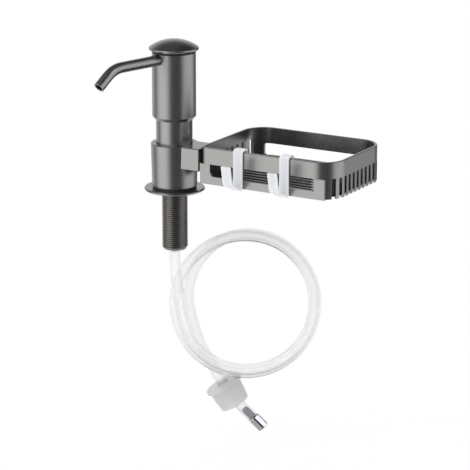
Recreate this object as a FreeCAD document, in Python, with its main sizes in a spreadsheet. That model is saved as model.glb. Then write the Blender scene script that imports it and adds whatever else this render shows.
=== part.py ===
import FreeCAD, Part
import math
import os
import re
import Sketcher

# Deck-mounted soap pump with a swivelling basket on its base, two clear hooks on the
# basket's rim and a coiled suction tube with a bottle stopper and a foot valve.
# Frame: millimetres, +Z up, origin on the pump's axis in the plane of the deck, +X along
# the basket's front wall, which faces -Y.

Vector = FreeCAD.Vector

# Driving sizes: millimetres, degrees for angles, plain numbers for counts and shares.
SIZES = {
    # clearances and the overrun of cuts
    "overrun": 1.0,
    "seat_gap": 0.1,
    "turn_gap": 0.06,
    "slide_gap": 0.35,
    # threaded shank and deck flange
    "thread_radius": 12.0,
    "shank_length": 56.6,
    "shank_edge": 1.8,
    "boss_length": 14.0,
    "flange_radius": 28.1,
    "flange_height": 2.6,
    "flange_edge": 0.8,
    # fixed neck that the head slides over
    "neck_radius": 16.85,
    "neck_wall": 3.3,
    "neck_length": 80.0,
    "neck_edge": 0.8,
    # black bush that the caddy turns on
    "bush_wall": 1.5,
    "bush_rim_radius": 20.1,
    "bush_rim_height": 1.6,
    # caddy collar and its arm
    "collar_base_radius": 20.95,
    "collar_top_radius": 21.85,
    "collar_height": 40.4,
    "collar_lip": 2.5,
    "collar_edge": 0.5,
    "arm_reach": 34.7,
    "arm_half_width": 14.5,
    "arm_height": 21.0,
    "arm_edge": 0.7,
    "tongue_reach": 0.6,
    "tongue_inset": 2.5,
    # pump barrel, gland, inlet and plunger
    "barrel_radius": 7.6,
    "barrel_wall": 1.8,
    "barrel_drop": 46.0,
    "barrel_rim_radius": 15.5,
    "barrel_rim_height": 2.0,
    "gland_radius": 12.0,
    "gland_height": 6.0,
    "inlet_height": 18.0,
    "inlet_bore": 1.8,
    "inlet_seat_rise": 4.0,
    "inlet_seat_depth": 4.0,
    "ball_room": 4.2,
    "ball_radius": 3.0,
    "barb_length": 14.0,
    "barb_tip": 0.8,
    "barb_taper": 3.0,
    "cage_height": 2.0,
    "cage_bore": 2.2,
    "press_stroke": 20.0,
    "stroke_margin": 2.4,
    "piston_level": 20.0,
    "piston_height": 6.0,
    "seal_depth": 1.5,
    "seal_height": 3.0,
    "stem_radius": 4.0,
    "stem_bore": 2.0,
    "stem_socket": 9.0,
    "spring_radius": 5.6,
    "spring_wire": 0.6,
    "spring_turns": 9,
    # pump head
    "sleeve_radius": 20.3,
    "sleeve_wall": 1.6,
    "sleeve_length": 62.7,
    "sleeve_edge": 0.4,
    "lip_wall": 0.5,
    "lip_height": 3.2,
    "lip_floor": 1.2,
    "core_height": 17.5,
    "groove_height": 1.0,
    "groove_depth": 1.1,
    "brim_radius": 23.05,
    "brim_foot": 2.2,
    "brim_height": 2.4,
    "brim_edge": 0.6,
    "dome_height": 7.6,
    # spout
    "spout_radius": 5.0,
    "spout_bore": 3.6,
    "spout_drop": 5.3,
    "spout_root": 6.5,
    "spout_run": 75.5,
    "spout_tip": 23.0,
    "spout_droop": 38.0,
    "spout_bend": 28.0,
    "spout_bearing": -104.0,
    # basket
    "basket_length": 138.0,
    "basket_depth": 103.0,
    "basket_height": 34.0,
    "basket_wall": 2.6,
    "rim_rise": 2.8,
    "rim_edge": 0.5,
    "corner_radius": 22.0,
    "near_corner_radius": 7.5,
    "band_height": 15.2,
    "slot_pitch": 7.84,
    "slot_width": 4.1,
    "slot_count": 8,
    "slot_first": 2.4,
    "far_slot_angle": 20.5,
    "left_slot_pitch": 9.7,
    "left_slot_count": 4,
    "left_slot_last": 60.3,
    "left_band_height": 10.8,
    "window_margin": 12.5,
    "window_corner": 2.0,
    "rail_height": 7.3,
    "ledge_depth": 3.0,
    "ledge_height": 1.5,
    # louvered front panel
    "panel_offset": 0.7,
    "panel_length": 128.6,
    "panel_thickness": 2.5,
    "panel_end": 10.5,
    "cell_length": 16.0,
    "cell_corner": 4.0,
    "divider": 3.0,
    "blade_count": 4,
    "blade_height": 0.6,
    "blade_depth": 1.2,
    # drain tray and the screws that hold the basket to the arm
    "tray_thickness": 2.0,
    "tray_gap": 0.3,
    "tray_slot_count": 5,
    "tray_slot_width": 4.0,
    "tray_slot_pitch": 12.0,
    "tray_slot_margin": 16.0,
    "screw_middle": 3.3,
    "screw_spread": 6.5,
    "screw_radius": 2.0,
    "screw_length": 9.0,
    "screw_head_radius": 3.6,
    "screw_head_height": 2.2,
    # clear hooks on the rim
    "hook_width": 9.4,
    "hook_thickness": 2.0,
    "hook_clearance": 0.5,
    "hook_span": 7.0,
    "hook_inner_leg": 9.0,
    "hook_below": 2.0,
    "hook_throat": 18.4,
    "hook_rise": 8.6,
    "hook_lip": 17.5,
    "hook_lean": 3.6,
    "hook_bend": 2.4,
    "hook_first": 41.7,
    "hook_second": 89.4,
    # suction tube, its coil and tail
    "tube_radius": 5.3,
    "tube_bore": 3.8,
    "lead_length": 22.0,
    "coil_bearing": 30.0,
    "coil_offset": 66.1,
    "coil_level": -110.8,
    "coil_setback": 2.0,
    "coil_step": 16.0,
    "coil_tilt": 17.0,
    "coil_first_turn": 0.02,
    "reach_lead": 62.3,
    "reach_low": 66.0,
    "reach_side": 64.5,
    "reach_high": 66.4,
    "reach_middle": 67.1,
    "reach_back_low": 69.5,
    "reach_back_side": 66.4,
    "reach_back_high": 68.9,
    "reach_end": 54.4,
    "tail_out": 27.1,
    "tail_level": -172.5,
    "tail_setback": 38.0,
    "tail_droop": 60.0,
    "tail_forward": 2.5,
    "tail_run": 47.6,
    "tail_bend": 43.0,
    "tip_droop": 45.2,
    "tip_run": 31.3,
    # bottle stopper on the tail
    "stopper_place": 33.8,
    "stopper_disc_radius": 18.2,
    "stopper_disc_height": 4.5,
    "stopper_radius": 16.3,
    "stopper_foot_radius": 14.4,
    "stopper_length": 19.5,
    "stopper_edge": 0.8,
    "stopper_grip": 7.5,
    "stopper_wall": 2.6,
    # foot valve
    "valve_sides": 6,
    "valve_flat": 5.7,
    "valve_length": 15.0,
    "valve_edge": 0.9,
    "valve_socket": 4.5,
    "valve_socket_depth": 3.0,
    "valve_room": 3.4,
    "valve_room_end": 8.5,
    "valve_inlet": 1.8,
    "valve_seat_end": 11.2,
    "valve_ball_radius": 2.6,
    "valve_barb_length": 12.0,
}

doc = FreeCAD.newDocument("soap_pump_caddy")
sheet = doc.addObject("Spreadsheet::Sheet", "sizes")
for row, (alias, value) in enumerate(SIZES.items(), start=1):
    sheet.set(f"A{row}", alias)
    sheet.set(f"B{row}", str(value))
    sheet.setAlias(f"B{row}", alias)
doc.recompute()

# Levels and radii that several pieces share, written in the driving sizes.
bush_radius = "(neck_radius + seat_gap + bush_wall)"
collar_low = "(flange_height + bush_rim_height + turn_gap)"
collar_top = f"({collar_low} + collar_height)"
neck_top = "(flange_height + neck_length)"
neck_bore = "(neck_radius - neck_wall)"
barrel_outside = "(barrel_radius + barrel_wall)"
gland_top = f"({neck_top} + barrel_rim_height + gland_height)"
inlet_top = "(inlet_height - barrel_drop)"
cage_top = f"({inlet_top} + cage_height)"
sleeve_low = f"({collar_top} + press_stroke + stroke_margin)"
sleeve_top = f"({sleeve_low} + sleeve_length)"
sleeve_bore = "(sleeve_radius - sleeve_wall)"
core_low = f"({sleeve_top} - core_height)"
spout_level = f"({sleeve_top} - spout_drop)"
brim_low = f"({sleeve_top} + groove_height)"
brim_top = f"({brim_low} + brim_height)"
basket_left = "(arm_reach + tongue_reach)"
basket_right = f"({basket_left} + basket_length)"
basket_front = "(0 - arm_half_width)"
basket_back = "(basket_depth - arm_half_width)"
basket_top = f"({collar_top} + rim_rise)"
basket_low = f"({basket_top} - basket_height)"
band_low = f"({basket_top} - band_height)"
rail_top = f"({basket_low} + rail_height)"
arm_low = f"({collar_top} - arm_height)"
arm_middle = f"({collar_top} - arm_height / 2)"


def bound(text):
    # The same words, pointing at the sheet's cells.
    def cell(word):
        return f"sizes.{word[0]}" if word[0] in SIZES else word[0]

    return re.sub(r"[a-z]+(?:_[a-z]+)*", cell, text)


def size(text):
    return float(sheet.evalExpression(bound(text)))


nodes = {}
full_turn = 360
half_turn = 180
overlap_limit = 0.001


def node(label, piece):
    piece.Label = label
    nodes[label] = piece
    return piece


# Sketched solids.
def arc_between(start, end, radius, turn):
    chord = end - start
    middle = (start + end) * 0.5
    side = Vector(-chord.y, chord.x, 0).normalize() * turn
    centre = middle + side * math.sqrt(max(radius ** 2 - (chord.Length / 2) ** 2, 0))
    first, last = (start, end) if turn > 0 else (end, start)
    angles = [math.atan2(point.y - centre.y, point.x - centre.x) for point in (first, last)]
    if angles[1] <= angles[0]:
        angles[1] += 2 * math.pi
    return Part.ArcOfCircle(Part.Circle(centre, Vector(0, 0, 1), radius), angles[0], angles[1])


def outline(body, role, corners, arcs=None, lift="0"):
    # A closed sketch whose corners, and the radii of its arcs, follow the sheet.
    arcs = arcs or {}
    sketch = body.newObject("Sketcher::SketchObject", "outline")
    plane = [feature for feature in body.Origin.OriginFeatures if feature.Role == role][0]
    sketch.AttachmentSupport = [(plane, "")]
    sketch.MapMode = "FlatFace"
    sketch.setExpression(".AttachmentOffset.Base.z", bound(lift))
    points = [Vector(size(x), size(y), 0) for x, y in corners]
    ends = []
    for index, start in enumerate(points):
        end = points[(index + 1) % len(points)]
        if index in arcs:
            radius, turn = arcs[index]
            sketch.addGeometry(arc_between(start, end, size(radius), turn), False)
            ends.append((1, 2) if turn > 0 else (2, 1))
        else:
            sketch.addGeometry(Part.LineSegment(start, end), False)
            ends.append((1, 2))
    for index in range(len(points)):
        following = (index + 1) % len(points)
        meet = Sketcher.Constraint("Coincident", index, ends[index][1], following, ends[following][0])
        sketch.addConstraint(meet)
    for index, corner in enumerate(corners):
        for kind, axis, text, at in (("DistanceX", -2, corner[0], points[index].x),
                                     ("DistanceY", -1, corner[1], points[index].y)):
            if text == "0":
                sketch.addConstraint(Sketcher.Constraint("PointOnObject", index, ends[index][0], axis))
                continue
            place = sketch.addConstraint(Sketcher.Constraint(kind, -1, 1, index, ends[index][0], at))
            sketch.renameConstraint(place, f"{kind}_{index}")
            sketch.setExpression(f"Constraints.{kind}_{index}", bound(text))
    for index, (radius, turn) in arcs.items():
        place = sketch.addConstraint(Sketcher.Constraint("Radius", index, size(radius)))
        sketch.renameConstraint(place, f"Radius_{index}")
        sketch.setExpression(f"Constraints.Radius_{index}", bound(radius))
    return sketch


def lathe(name, corners, arcs=None):
    # A turned piece: its half section, radius by height, spun about Z.
    body = doc.addObject("PartDesign::Body", name)
    turned = body.newObject("PartDesign::Revolution", "turned")
    turned.Profile = outline(body, "XZ_Plane", corners, arcs)
    turned.ReferenceAxis = (turned.Profile[0], ["V_Axis"])
    turned.Angle = full_turn
    body.Tip = turned
    return body


def slab(name, role, corners, arcs, lift, depth):
    # A flat piece: an outline on one of its own planes, raised by its thickness.
    body = doc.addObject("PartDesign::Body", name)
    raised = body.newObject("PartDesign::Pad", "raised")
    raised.Profile = outline(body, role, corners, arcs, lift)
    raised.setExpression("Length", bound(depth))
    body.Tip = raised
    return body


# Plain solids and booleans.
def block(name, low, spans):
    solid = doc.addObject("Part::Box", name)
    for side, text in zip(("Length", "Width", "Height"), spans):
        solid.setExpression(side, bound(text))
    for axis, text in zip("xyz", low):
        solid.setExpression(f".Placement.Base.{axis}", bound(text))
    return solid


def rod(name, radius, length, foot, way=Vector(0, 0, 1)):
    solid = doc.addObject("Part::Cylinder", name)
    solid.setExpression("Radius", bound(radius))
    solid.setExpression("Height", bound(length))
    solid.Placement = FreeCAD.Placement(Vector(), FreeCAD.Rotation(Vector(0, 0, 1), way))
    for axis, text in zip("xyz", foot):
        solid.setExpression(f".Placement.Base.{axis}", bound(text))
    return solid


def cut(name, base, tools):
    result = doc.addObject("Part::Cut", name)
    result.Base = base
    result.Tool = tools[0]
    if len(tools) > 1:
        result.Tool = doc.addObject("Part::Compound", f"{name}_tools")
        result.Tool.Links = tools
    result.Refine = True
    return result


def join(name, pieces):
    result = doc.addObject("Part::MultiFuse", name)
    result.Shapes = pieces
    result.Refine = True
    return result


def softened(name, base, width, picked):
    # The same solid with a narrow bevel along the picked edges.
    doc.recompute()
    result = doc.addObject("Part::Chamfer", name)
    result.Base = base
    span = size(width)
    edges = enumerate(base.Shape.Edges, start=1)
    result.Edges = [(index, span, span) for index, edge in edges if picked(edge)]
    return result


def lies_at(edge, side, place):
    # Whether an edge lies wholly in one plane across an axis.
    return all(abs(getattr(vertex.Point, side) - place) < overlap_limit for vertex in edge.Vertexes)


def made(name, shape):
    piece = doc.addObject("Part::Feature", name)
    piece.Shape = shape
    return piece


# Swept and wound solids.
def rounded_path(points, radius):
    # Straight runs joined by tangent arcs of one radius.
    edges = []
    last = points[0]
    for before, corner, after in zip(points, points[1:], points[2:]):
        back = (before - corner).normalize()
        ahead = (after - corner).normalize()
        half = back.getAngle(ahead) / 2
        reach = radius / math.tan(half)
        bisector = (back + ahead).normalize()
        middle = corner + bisector * (radius / math.sin(half) - radius)
        enter = corner + back * reach
        leave = corner + ahead * reach
        edges.append(Part.LineSegment(last, enter).toShape())
        edges.append(Part.Arc(enter, middle, leave).toShape())
        last = leave
    edges.append(Part.LineSegment(last, points[-1]).toShape())
    return Part.Wire(edges)


def ring(centre, way, radius):
    return Part.Wire(Part.Circle(centre, way, radius).toShape())


def swept(path, section):
    pipe = Part.BRepOffsetAPI.MakePipeShell(path)
    pipe.add(section, False, False)
    pipe.build()
    pipe.makeSolid()
    return pipe.shape()


def hose(path, start, way, outside, bore):
    return swept(path, ring(start, way, outside)).cut(swept(path, ring(start, way, bore)))


def arc_leaving(start, way, end):
    # The arc from start, along way, to end.
    chord = end - start
    straight = chord * (way.dot(chord) / chord.dot(chord))
    aside = way - straight
    lean = way.getAngle(chord)
    middle = (start + end) * 0.5 + aside.normalize() * (chord.Length / 2 * math.tan(lean / 2))
    return Part.Arc(start, middle, end).toShape()


def biarc(start, start_way, end, end_way):
    # Two arcs that leave start along one way and reach end along another.
    span = end - start
    both = start_way + end_way
    share = 2 * (1 - start_way.dot(end_way))
    along = span.dot(both)
    reach = (math.sqrt(along ** 2 + share * span.dot(span)) - along) / share
    meet = (start + start_way * reach + end - end_way * reach) * 0.5
    second = arc_leaving(end, end_way * -1, meet)
    return [arc_leaving(start, start_way, meet), second]


def wound_path(knots):
    edges = []
    for (start, start_way), (end, end_way) in zip(knots, knots[1:]):
        edges.extend(biarc(start, start_way, end, end_way))
    return edges


def unit(vector):
    return Vector(vector).normalize()


def bearing(name):
    # A level direction, by its angle from X.
    turned = math.radians(size(name))
    return Vector(math.cos(turned), math.sin(turned), 0)


# Deck flange, and the threaded shank that passes through it.
flange_bore = "(thread_radius + seat_gap)"
node("base_flange", lathe("base_flange", [
    (flange_bore, "0"),
    ("flange_radius - flange_edge", "0"),
    ("flange_radius", "flange_edge"),
    ("flange_radius", "flange_height - flange_edge"),
    ("flange_radius - flange_edge", "flange_height"),
    (flange_bore, "flange_height"),
]))

shank_bore = f"({barrel_outside} + seat_gap)"
boss_radius = f"({neck_bore} - seat_gap)"
node("threaded_shank", lathe("threaded_shank", [
    (shank_bore, "0 - shank_length"),
    ("thread_radius - shank_edge", "0 - shank_length"),
    ("thread_radius", "shank_edge - shank_length"),
    ("thread_radius", "flange_height"),
    (boss_radius, "flange_height"),
    (boss_radius, "flange_height + boss_length"),
    (shank_bore, "flange_height + boss_length"),
]))

# Fixed neck, the outer tube that the head slides over.
node("neck_tube", lathe("neck_tube", [
    (neck_bore, "flange_height"),
    ("neck_radius", "flange_height"),
    ("neck_radius", f"{neck_top} - neck_edge"),
    ("neck_radius - neck_edge", neck_top),
    (neck_bore, neck_top),
]))

# Bush with a rim, between the flange, the neck and the caddy's collar.
bush_top = f"({collar_top} - collar_lip - slide_gap)"
node("swivel_bush", lathe("swivel_bush", [
    ("neck_radius + seat_gap", "flange_height"),
    ("bush_rim_radius", "flange_height"),
    ("bush_rim_radius", "flange_height + bush_rim_height"),
    (bush_radius, "flange_height + bush_rim_height"),
    (bush_radius, bush_top),
    ("neck_radius + seat_gap", bush_top),
]))

# Pump barrel hung in the neck, with the gland that guides the stem.
node("pump_barrel", lathe("pump_barrel", [
    ("barrel_radius", "0 - barrel_drop"),
    (barrel_outside, "0 - barrel_drop"),
    (barrel_outside, neck_top),
    ("barrel_rim_radius", neck_top),
    ("barrel_rim_radius", f"{neck_top} + barrel_rim_height"),
    ("barrel_radius", f"{neck_top} + barrel_rim_height"),
]))

node("stem_gland", lathe("stem_gland", [
    ("stem_radius + turn_gap", f"{neck_top} + barrel_rim_height"),
    ("gland_radius", f"{neck_top} + barrel_rim_height"),
    ("gland_radius", f"{gland_top} - neck_edge"),
    ("gland_radius - neck_edge", gland_top),
    ("stem_radius + turn_gap", gland_top),
]))

# Inlet fitting with its ball seat and the barb that the suction tube grips.
barb_radius = "(tube_bore - seat_gap)"
seat_low = f"({inlet_top} - inlet_height + inlet_seat_rise)"
seat_high = f"({seat_low} + inlet_seat_depth)"
node("inlet_fitting", lathe("inlet_fitting", [
    ("inlet_bore", "0 - barrel_drop - barb_length"),
    (f"{barb_radius} - barb_tip", "0 - barrel_drop - barb_length"),
    (barb_radius, "barb_taper - barrel_drop - barb_length"),
    (barb_radius, "0 - barrel_drop"),
    ("barrel_radius - seat_gap", "0 - barrel_drop"),
    ("barrel_radius - seat_gap", inlet_top),
    ("ball_room", inlet_top),
    ("ball_room", seat_high),
    ("inlet_bore", seat_low),
]))

node("inlet_cage", lathe("inlet_cage", [
    ("cage_bore", inlet_top),
    ("barrel_radius - seat_gap", inlet_top),
    ("barrel_radius - seat_gap", cage_top),
    ("cage_bore", cage_top),
]))


def ball(name, radius, rise):
    sphere = doc.addObject("Part::Sphere", name)
    sphere.setExpression("Radius", bound(radius))
    sphere.setExpression(".Placement.Base.z", bound(rise))
    return sphere


seat_half_angle = "atan((ball_room - inlet_bore) / inlet_seat_depth)"
seat_point = f"({seat_low} - inlet_bore / tan({seat_half_angle}))"
ball_level = f"({seat_point} + (ball_radius + seat_gap) / sin({seat_half_angle}))"
node("inlet_ball", ball("inlet_ball", "ball_radius", ball_level))

# Plunger: stem, piston and its seal, all on the pump's axis.
piston_top = "(piston_level + piston_height)"
stem_top = f"({core_low} + stem_socket)"
node("pump_stem", lathe("pump_stem", [
    ("stem_bore", piston_top),
    ("stem_radius", piston_top),
    ("stem_radius", stem_top),
    ("stem_bore", stem_top),
]))

piston_radius = "(barrel_radius - slide_gap)"
seal_low = "(piston_level + (piston_height - seal_height) / 2)"
seal_bore = f"({piston_radius} - seal_depth)"
node("piston", lathe("piston", [
    ("stem_bore", "piston_level"),
    (piston_radius, "piston_level"),
    (piston_radius, seal_low),
    (seal_bore, seal_low),
    (seal_bore, f"{seal_low} + seal_height"),
    (piston_radius, f"{seal_low} + seal_height"),
    (piston_radius, piston_top),
    ("stem_bore", piston_top),
]))

node("piston_seal", lathe("piston_seal", [
    (seal_bore, seal_low),
    ("barrel_radius - turn_gap", seal_low),
    ("barrel_radius - turn_gap", f"{seal_low} + seal_height"),
    (seal_bore, f"{seal_low} + seal_height"),
]))


def spring_shape():
    radius = size("spring_radius")
    wire = size("spring_wire")
    low = size(f"{cage_top} + spring_wire + seat_gap")
    high = size("piston_level - spring_wire - seat_gap")
    halves = 2 * int(size("spring_turns"))
    climb = (high - low) / halves
    knots = []
    for half in range(halves + 1):
        swing = math.pi * half
        spot = Vector(radius * math.cos(swing), radius * math.sin(swing), low + climb * half)
        way = unit((-math.pi * radius * math.sin(swing), math.pi * radius * math.cos(swing), climb))
        knots.append((spot, way))
    path = Part.Wire(wound_path(knots))
    solid = swept(path, ring(knots[0][0], knots[0][1], wire))
    print("spring: gap between turns", round(2 * climb - 2 * wire, 2))
    return solid


node("return_spring", made("return_spring", spring_shape()))

# Head: outer sleeve with a drawn-in lip, core, domed cap and spout.
spout_way = bearing("spout_bearing")
spout_hole_foot = ("0", "0", spout_level)
lip_bore = "(neck_radius + slide_gap)"
sleeve = lathe("sleeve_shell", [
    (lip_bore, sleeve_low),
    (f"{lip_bore} + lip_wall", sleeve_low),
    ("sleeve_radius", f"{sleeve_low} + lip_height"),
    ("sleeve_radius", f"{sleeve_top} - sleeve_edge"),
    ("sleeve_radius - sleeve_edge", sleeve_top),
    (sleeve_bore, sleeve_top),
    (sleeve_bore, f"{sleeve_low} + lip_height + lip_floor"),
    (lip_bore, f"{sleeve_low} + lip_floor"),
])
node("head_sleeve", cut("head_sleeve", sleeve, [
    rod("sleeve_hole", "spout_radius + seat_gap", "sleeve_radius + overrun", spout_hole_foot, spout_way),
]))

core = lathe("core_blank", [
    ("0", core_low),
    (f"{sleeve_bore} - seat_gap", core_low),
    (f"{sleeve_bore} - seat_gap", sleeve_top),
    ("0", sleeve_top),
])
core_stem = rod("core_stem_hole", "stem_radius + turn_gap", "stem_socket + seat_gap", ("0", "0", core_low))
core_riser = rod("core_riser", "stem_bore", f"{spout_level} - {core_low}", ("0", "0", core_low))
core_way = rod("core_way", "stem_bore", "sleeve_radius", spout_hole_foot, spout_way)
core_socket = rod("core_socket", "spout_radius + seat_gap", "sleeve_radius", (
    "(spout_root - seat_gap) * cos(spout_bearing)",
    "(spout_root - seat_gap) * sin(spout_bearing)",
    spout_level,
), spout_way)
core_holes = join("core_holes", [core_stem, core_riser, core_way, core_socket])
node("head_core", cut("head_core", core, [core_holes]))

brim_foot_radius = "(sleeve_radius - groove_depth)"
dome_radius = "((brim_radius ^ 2 + dome_height ^ 2) / (2 * dome_height))"
node("dome_cap", lathe("dome_cap", [
    ("0", sleeve_top),
    (brim_foot_radius, sleeve_top),
    (brim_foot_radius, brim_low),
    ("brim_radius - brim_foot", brim_low),
    ("brim_radius", brim_top),
    ("brim_radius", f"{brim_top} + brim_edge"),
    ("0", f"{brim_top} + brim_edge + dome_height"),
], {5: (dome_radius, 1)}))


def spout_shape():
    level = Vector(0, 0, size(spout_level))
    root = level + spout_way * size("spout_root")
    corner = level + spout_way * size("spout_run")
    droop = math.radians(size("spout_droop"))
    tip = corner + (spout_way * math.cos(droop) - Vector(0, 0, math.sin(droop))) * size("spout_tip")
    path = rounded_path([root, corner, tip], size("spout_bend"))
    return hose(path, root, spout_way, size("spout_radius"), size("spout_bore"))


node("spout", made("spout", spout_shape()))

# Caddy collar: a tapered ring that turns on the bush, with an arm towards the basket.
collar_bore = f"({bush_radius} + turn_gap)"
collar_ring = lathe("collar_ring", [
    (collar_bore, collar_low),
    ("collar_base_radius - collar_edge", collar_low),
    ("collar_base_radius", f"{collar_low} + collar_edge"),
    ("collar_top_radius", f"{collar_top} - collar_edge"),
    ("collar_top_radius - collar_edge", collar_top),
    (lip_bore, collar_top),
    (lip_bore, f"{collar_top} - collar_lip"),
    (collar_bore, f"{collar_top} - collar_lip"),
])
arm_block = block("arm_block", ("0", basket_front, arm_low),
                  ("arm_reach", "2 * arm_half_width", "arm_height"))
arm_bar = softened("arm_bar", arm_block, "arm_edge", lambda edge: not lies_at(edge, "x", 0))
arm_tongue = block("arm_tongue", (
    "arm_reach - tongue_inset",
    f"{basket_front} + tongue_inset",
    f"{arm_low} + tongue_inset",
), (
    "tongue_inset + tongue_reach",
    "2 * (arm_half_width - tongue_inset)",
    "arm_height - 2 * tongue_inset",
))
arm_inside = rod("arm_inside", f"({collar_bore} + collar_base_radius) / 2", "arm_height + 2 * overrun",
                 ("0", "0", f"{arm_low} - overrun"))
arm = cut("arm", join("arm_blank", [arm_bar, arm_tongue]), [arm_inside])
screw_way = Vector(-1, 0, 0)
screw_sides = {"front": "(screw_middle - screw_spread)", "back": "(screw_middle + screw_spread)"}
arm_holes = [
    rod(f"arm_hole_{side}", "screw_radius + seat_gap", "screw_length + overrun",
        (f"{basket_left} + overrun", place, arm_middle), screw_way)
    for side, place in screw_sides.items()
]
node("caddy_collar", cut("caddy_collar", join("collar_and_arm", [collar_ring, arm]), arm_holes))


# Basket: a rounded wall with a full band at the rim, open slots below it at both ends and
# in the far corners, a wide window at the back and a gap at the front for the louvers.
def basket_outline(inset):
    left = f"({basket_left} + {inset})"
    right = f"({basket_right} - {inset})"
    front = f"({basket_front} + {inset})"
    back = f"({basket_back} - {inset})"
    near = f"(near_corner_radius - {inset})"
    wide = f"(corner_radius - {inset})"
    corners = [
        (f"{left} + {near}", front), (f"{right} - {wide}", front),
        (right, f"{front} + {wide}"), (right, f"{back} - {wide}"),
        (f"{right} - {wide}", back), (f"{left} + {wide}", back),
        (left, f"{back} - {wide}"), (left, f"{front} + {near}"),
    ]
    return corners, {1: (wide, 1), 3: (wide, 1), 5: (wide, 1), 7: (near, 1)}


basket_outside = slab("basket_outside", "XY_Plane", *basket_outline("0"), basket_low, "basket_height")
basket_inside = slab("basket_inside", "XY_Plane", *basket_outline("basket_wall"),
                     f"{basket_low} - overrun", "basket_height + 2 * overrun")
basket_rim = size(basket_top)
basket_shell = softened("basket_shell", cut("basket_blank", basket_outside, [basket_inside]), "rim_edge",
                        lambda edge: lies_at(edge, "z", basket_rim))


def slot_tool(name, centre, swing, band):
    # A slot through the wall, from under the bottom edge up to the band.
    tool = doc.addObject("Part::Box", name)
    tool.setExpression("Length", bound("2 * (basket_wall + overrun)"))
    tool.setExpression("Width", bound("slot_width"))
    tool.setExpression("Height", bound(f"basket_height - {band} + overrun"))
    turn = FreeCAD.Rotation(Vector(0, 0, 1), swing)
    start = Vector(size("0 - 2 * basket_wall - overrun"), size("0 - slot_width / 2"), 0)
    tool.Placement = FreeCAD.Placement(centre + turn.multVec(start), turn)
    return tool


def basket_slots():
    low = size(f"{basket_low} - overrun")
    radius = size("corner_radius")
    left = size(basket_left)
    right = size(basket_right)
    first = size(f"{basket_front} + corner_radius")
    last = size(f"{basket_back} - corner_radius")
    pitch = size("slot_pitch")
    offset = size("slot_first")
    tools = []
    for index in range(int(size("slot_count"))):
        foot = Vector(right, first + offset + index * pitch, low)
        tools.append(slot_tool(f"slot_right_{index}", foot, 0, "band_height"))
    for index in range(int(size("left_slot_count"))):
        foot = Vector(left, size("left_slot_last") - index * size("left_slot_pitch"), low)
        tools.append(slot_tool(f"slot_left_{index}", foot, half_turn, "left_band_height"))
    # The row runs on round the right-hand corners at the same pitch.
    past_last = offset + size("slot_count") * pitch - (last - first)
    corner_places = [("near_0", first, offset - pitch), ("near_1", first, offset - 2 * pitch),
                     ("far_0", last, past_last)]
    for name, middle, place in corner_places:
        turned = place / radius
        foot = Vector(right - radius + radius * math.cos(turned), middle + radius * math.sin(turned), low)
        tools.append(slot_tool(f"slot_{name}", foot, math.degrees(turned), "band_height"))
    # One more in the far left corner is cut straight along X.
    turned = math.radians(size("far_slot_angle"))
    foot = Vector(left + radius - radius * math.cos(turned), last + radius * math.sin(turned), low)
    tools.append(slot_tool("slot_far_left", foot, half_turn, "left_band_height"))
    return tools


window_left = f"({basket_left} + window_margin)"
window_right = f"({basket_right} - window_margin)"
back_window = slab("back_window", "XZ_Plane", [
    (f"{window_left} + window_corner", rail_top), (f"{window_right} - window_corner", rail_top),
    (window_right, f"{rail_top} + window_corner"), (window_right, f"{band_low} - window_corner"),
    (f"{window_right} - window_corner", band_low), (f"{window_left} + window_corner", band_low),
    (window_left, f"{band_low} - window_corner"), (window_left, f"{rail_top} + window_corner"),
], {1: ("window_corner", 1), 3: ("window_corner", 1), 5: ("window_corner", 1), 7: ("window_corner", 1)},
    f"0 - {basket_back} - overrun", "corner_radius")

panel_left = f"({basket_left} + panel_offset)"
panel_right = f"({panel_left} + panel_length)"
front_gap = block("front_gap", (panel_left, f"{basket_front} - overrun", f"{basket_low} - overrun"),
                  ("panel_length", "basket_wall + overrun", "basket_height - band_height + overrun"))
wall_holes = [
    rod(f"wall_hole_{side}", "screw_radius + seat_gap", "basket_wall + 2 * overrun",
        (f"{basket_left} + basket_wall + overrun", place, arm_middle), screw_way)
    for side, place in screw_sides.items()
]
basket_wall = cut("basket_walls", basket_shell, basket_slots() + [back_window, front_gap] + wall_holes)
back_ledge = block("back_ledge", (
    f"{basket_left} + corner_radius",
    f"{basket_back} - basket_wall - ledge_depth",
    basket_low,
), ("basket_length - 2 * corner_radius", "ledge_depth + basket_wall / 2", "ledge_height"))
node("basket_frame", join("basket_frame", [basket_wall, back_ledge]))

# Louvered front panel: end plates, lower rail, one open cell and a stack of thin blades.
panel_plate = slab("panel_plate", "XZ_Plane", [
    (panel_left, basket_low), (panel_right, basket_low), (panel_right, band_low), (panel_left, band_low),
], {}, "arm_half_width - panel_thickness", "panel_thickness")
cell_left = f"({panel_left} + panel_end)"
cell_right = f"({cell_left} + cell_length)"
open_cell = slab("open_cell", "XZ_Plane", [
    (f"{cell_left} + cell_corner", rail_top), (cell_right, rail_top), (cell_right, f"{band_low} + overrun"),
    (cell_left, f"{band_low} + overrun"), (cell_left, f"{rail_top} + cell_corner"),
], {4: ("cell_corner", 1)}, "arm_half_width - panel_thickness - overrun", "panel_thickness + 2 * overrun")


def louver_gaps():
    left = f"({cell_right} + divider)"
    count = int(size("blade_count"))
    gap = f"(({band_low} - {rail_top} - blade_count * blade_height) / (blade_count + 1))"
    tools = []
    for index in range(count + 1):
        low = f"{rail_top} + {index} * ({gap} + blade_height)"
        extra = " + overrun" if index == count else ""
        tools.append(block(f"louver_gap_{index}", (left, f"{basket_front} - overrun", low), (
            f"{panel_right} - panel_end - {left}",
            "panel_thickness + 2 * overrun",
            f"{gap}{extra}",
        )))
    return tools


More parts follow.
